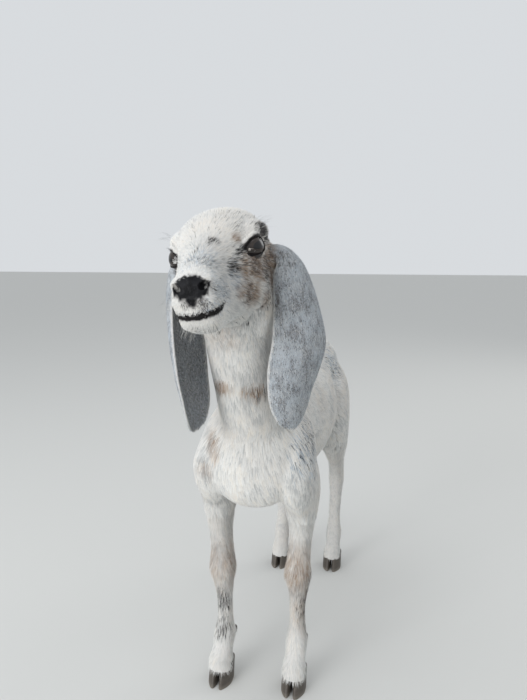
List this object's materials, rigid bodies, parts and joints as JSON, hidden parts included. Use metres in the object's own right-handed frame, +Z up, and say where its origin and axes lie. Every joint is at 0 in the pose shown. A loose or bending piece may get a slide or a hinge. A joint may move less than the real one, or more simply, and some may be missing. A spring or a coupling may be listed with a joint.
{
  "type": "nubian goat kid",
  "caption": "Standing goat kid with a domed forehead, a slightly tilted head, long hanging ears and cloven hooves.",
  "frame": {"origin": "on the floor, under the middle of the kid's bounding box", "axes": "+Z up, the kid faces -Y, its left side is +X"},
  "size_m": [0.1744, 0.6176, 0.6118],
  "materials": {
    "white_coat": "short soft creamy white hair with black and tan marks",
    "grey_coat": "short smooth blue-grey roan hair with a pale rim",
    "eye": "wet dark brown eye with a level slit pupil",
    "horn": "dark hoof horn"
  },
  "bodies": {
    "root": {"head": "white_coat", "neck": "white_coat", "torso": "white_coat", "tail": "white_coat", "foreleg_left": "white_coat", "foreleg_right": "white_coat", "hindleg_left": "white_coat", "hindleg_right": "white_coat", "ear_left": "grey_coat", "ear_right": "grey_coat", "eye_left": "eye", "eye_right": "eye", "hoof_fore_left_outer": "horn", "hoof_fore_left_inner": "horn", "hoof_fore_right_outer": "horn", "hoof_fore_right_inner": "horn", "hoof_hind_left_outer": "horn", "hoof_hind_left_inner": "horn", "hoof_hind_right_outer": "horn", "hoof_hind_right_inner": "horn"}
  },
  "joints": []
}
